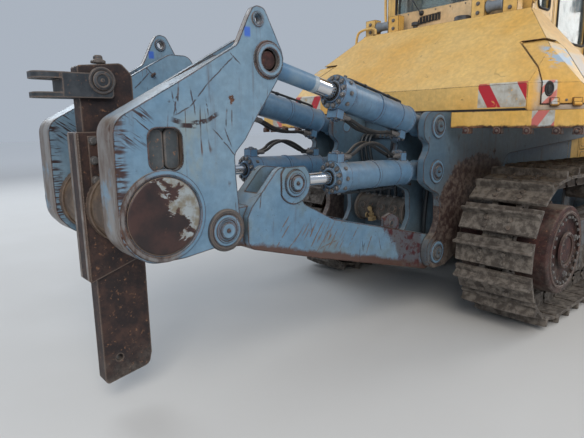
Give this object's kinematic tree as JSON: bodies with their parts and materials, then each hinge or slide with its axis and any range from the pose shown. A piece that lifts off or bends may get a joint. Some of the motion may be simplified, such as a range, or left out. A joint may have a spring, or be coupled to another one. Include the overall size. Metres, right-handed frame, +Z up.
{
  "type": "tracked bulldozer with parallelogram ripper",
  "caption": "Tracked bulldozer with a curved front blade on outer push arms, a cab behind a long hood, and a rear parallelogram ripper with one straight shank.",
  "frame": {"origin": "on the ground under the middle of the whole machine", "axes": "+X forward to the blade, +Y to the left of the machine, +Z up"},
  "size_m": [8.9986, 4.2, 3.81],
  "materials": {
    "yellow_paint": "worn yellow paint",
    "grey_paint": "scratched blue-grey paint with rust",
    "dark_paint": "dull dark paint",
    "rusty_steel": "brown rust",
    "track_steel": "muddy worn steel",
    "chrome_rod": "bright chromed rod",
    "glass": "tinted panes",
    "seat_vinyl": "black seat cover",
    "black_plastic": "matt black",
    "worn_edge": "ground-polished steel",
    "hose_rubber": "black hydraulic hose"
  },
  "bodies": {
    "machine": {"cab_floor": "yellow_paint", "cab_front": "yellow_paint", "cab_glass": "glass", "cab_rear": "yellow_paint", "cab_roof": "yellow_paint", "cab_side_left": "yellow_paint", "cab_side_right": "yellow_paint", "console": "black_plastic", "engine": "dark_paint", "exhaust": "dark_paint", "final_drive_left": "rusty_steel", "final_drive_right": "rusty_steel", "fuel_tank": "yellow_paint", "handrails": "yellow_paint", "hood": "yellow_paint", "hood_side_left": "yellow_paint", "hood_side_right": "yellow_paint", "hull": "grey_paint", "hull_pins": "grey_paint", "lamps": "black_plastic", "platform": "yellow_paint", "radiator_guard": "yellow_paint", "rear_bracket_left": "grey_paint", "rear_bracket_right": "grey_paint", "rollers_left": "track_steel", "rollers_right": "track_steel", "seat": "seat_vinyl", "track_frame_left": "grey_paint", "track_frame_right": "grey_paint", "track_left": "track_steel", "track_right": "track_steel"},
    "cab_door_left": {"cab_door_left": "yellow_paint", "door_glass_left": "glass"},
    "cab_door_right": {"cab_door_right": "yellow_paint", "door_glass_right": "glass"},
    "engine_door_left": {"engine_door_left": "yellow_paint"},
    "engine_door_right": {"engine_door_right": "yellow_paint"},
    "corner_hatch_left": {"corner_hatch_left": "yellow_paint"},
    "corner_hatch_right": {"corner_hatch_right": "yellow_paint"},
    "blade": {"moldboard": "yellow_paint", "cutting_edge": "worn_edge", "blade_braces": "yellow_paint", "push_arm_left": "yellow_paint", "push_arm_right": "yellow_paint"},
    "blade_barrels": {"blade_barrels": "yellow_paint"},
    "blade_rods": {"blade_rods": "chrome_rod"},
    "ripper_link": {"ripper_link": "grey_paint"},
    "link_pins": {"link_pins": "grey_paint"},
    "ripper_carrier": {"carrier_arm_left": "grey_paint", "carrier_arm_right": "grey_paint", "cross_tube": "rusty_steel", "shank_holder": "rusty_steel", "shank": "rusty_steel", "tow_hitch": "dark_paint"},
    "lift_barrels": {"lift_barrels": "grey_paint", "hoses_lift": "hose_rubber"},
    "lift_rods": {"lift_rods": "chrome_rod"},
    "tilt_barrels": {"tilt_barrels": "grey_paint", "hoses_tilt": "hose_rubber"},
    "tilt_rods": {"tilt_rods": "chrome_rod"}
  },
  "joints": [
    {"name": "blade_lift", "type": "hinge", "parent": "machine", "child": "blade", "pos_m": [0.65165, 0, 0.62], "axis": [0, -1, 0], "range_deg": [-5, 14]},
    {"name": "blade_barrel_swing", "type": "hinge", "parent": "machine", "child": "blade_barrels", "pos_m": [2.90165, 0, 2.3], "axis": [0, -1, 0], "range_deg": [-5, 14]},
    {"name": "blade_rod_slide", "type": "slide", "parent": "blade_barrels", "child": "blade_rods", "axis": [0.5098, 0, -0.8603], "range_m": [-0.69, 0.25]},
    {"name": "ripper_lift", "type": "hinge", "parent": "machine", "child": "ripper_link", "pos_m": [-1.70235, 0, 0.626], "axis": [0, 1, 0], "range_deg": [-20, 16]},
    {"name": "link_pin_turn", "type": "hinge", "parent": "ripper_link", "child": "link_pins", "pos_m": [-3.73335, 0, 1.118], "axis": [0, 1, 0], "range_deg": [-17, 21]},
    {"name": "ripper_tilt", "type": "hinge", "parent": "link_pins", "child": "ripper_carrier", "pos_m": [-3.73335, 0, 1.118], "axis": [0, -1, 0], "range_deg": [-8, 15]},
    {"name": "lift_barrel_swing", "type": "hinge", "parent": "machine", "child": "lift_barrels", "pos_m": [-1.75335, 0, 1.301], "axis": [0, 1, 0], "range_deg": [-21, 17]},
    {"name": "lift_rod_slide", "type": "slide", "parent": "lift_barrels", "child": "lift_rods", "axis": [-0.9997, 0, 0.0225], "range_m": [-0.2, 0.25]},
    {"name": "tilt_barrel_swing", "type": "hinge", "parent": "machine", "child": "tilt_barrels", "pos_m": [-1.75335, 0, 1.658], "axis": [0, 1, 0], "range_deg": [-25, 20]},
    {"name": "tilt_rod_slide", "type": "slide", "parent": "tilt_barrels", "child": "tilt_rods", "axis": [-0.974, 0, 0.2266], "range_m": [-0.15, 0.26]},
    {"name": "cab_door_left_hinge", "type": "hinge", "parent": "machine", "child": "cab_door_left", "pos_m": [-0.10135, 0.8043, 2.7], "axis": [0, 0, 1], "range_deg": [0, 100]},
    {"name": "engine_door_left_hinge", "type": "hinge", "parent": "machine", "child": "engine_door_left", "pos_m": [1.57865, 0.6043, 1.7], "axis": [0, 0, 1], "range_deg": [0, 85]},
    {"name": "corner_hatch_left_hinge", "type": "hinge", "parent": "machine", "child": "corner_hatch_left", "pos_m": [-1.36854, 1.43703, 1.807], "axis": [-0.7071, -0.7071, 0], "range_deg": [0, 70]},
    {"name": "cab_door_right_hinge", "type": "hinge", "parent": "machine", "child": "cab_door_right", "pos_m": [-0.10135, -0.8043, 2.7], "axis": [0, 0, -1], "range_deg": [0, 100]},
    {"name": "engine_door_right_hinge", "type": "hinge", "parent": "machine", "child": "engine_door_right", "pos_m": [1.57865, -0.6043, 1.7], "axis": [0, 0, -1], "range_deg": [0, 85]},
    {"name": "corner_hatch_right_hinge", "type": "hinge", "parent": "machine", "child": "corner_hatch_right", "pos_m": [-1.36854, -1.43703, 1.807], "axis": [0.7071, -0.7071, 0], "range_deg": [0, 70]}
  ],
  "couplings": [
    {"joint": "blade_barrel_swing", "follows": "blade_lift", "ratio": 0.931},
    {"joint": "blade_rod_slide", "follows": "blade_lift", "m_per_rad": -2.798},
    {"joint": "link_pin_turn", "follows": "ripper_lift", "ratio": -1.039},
    {"joint": "lift_barrel_swing", "follows": "ripper_lift", "ratio": 1.0275},
    {"joint": "lift_rod_slide", "follows": "ripper_lift", "m_per_rad": -0.6625},
    {"joint": "tilt_barrel_swing", "follows": "ripper_lift", "ratio": 1.227},
    {"joint": "tilt_rod_slide", "follows": "ripper_tilt", "m_per_rad": 0.959}
  ]
}
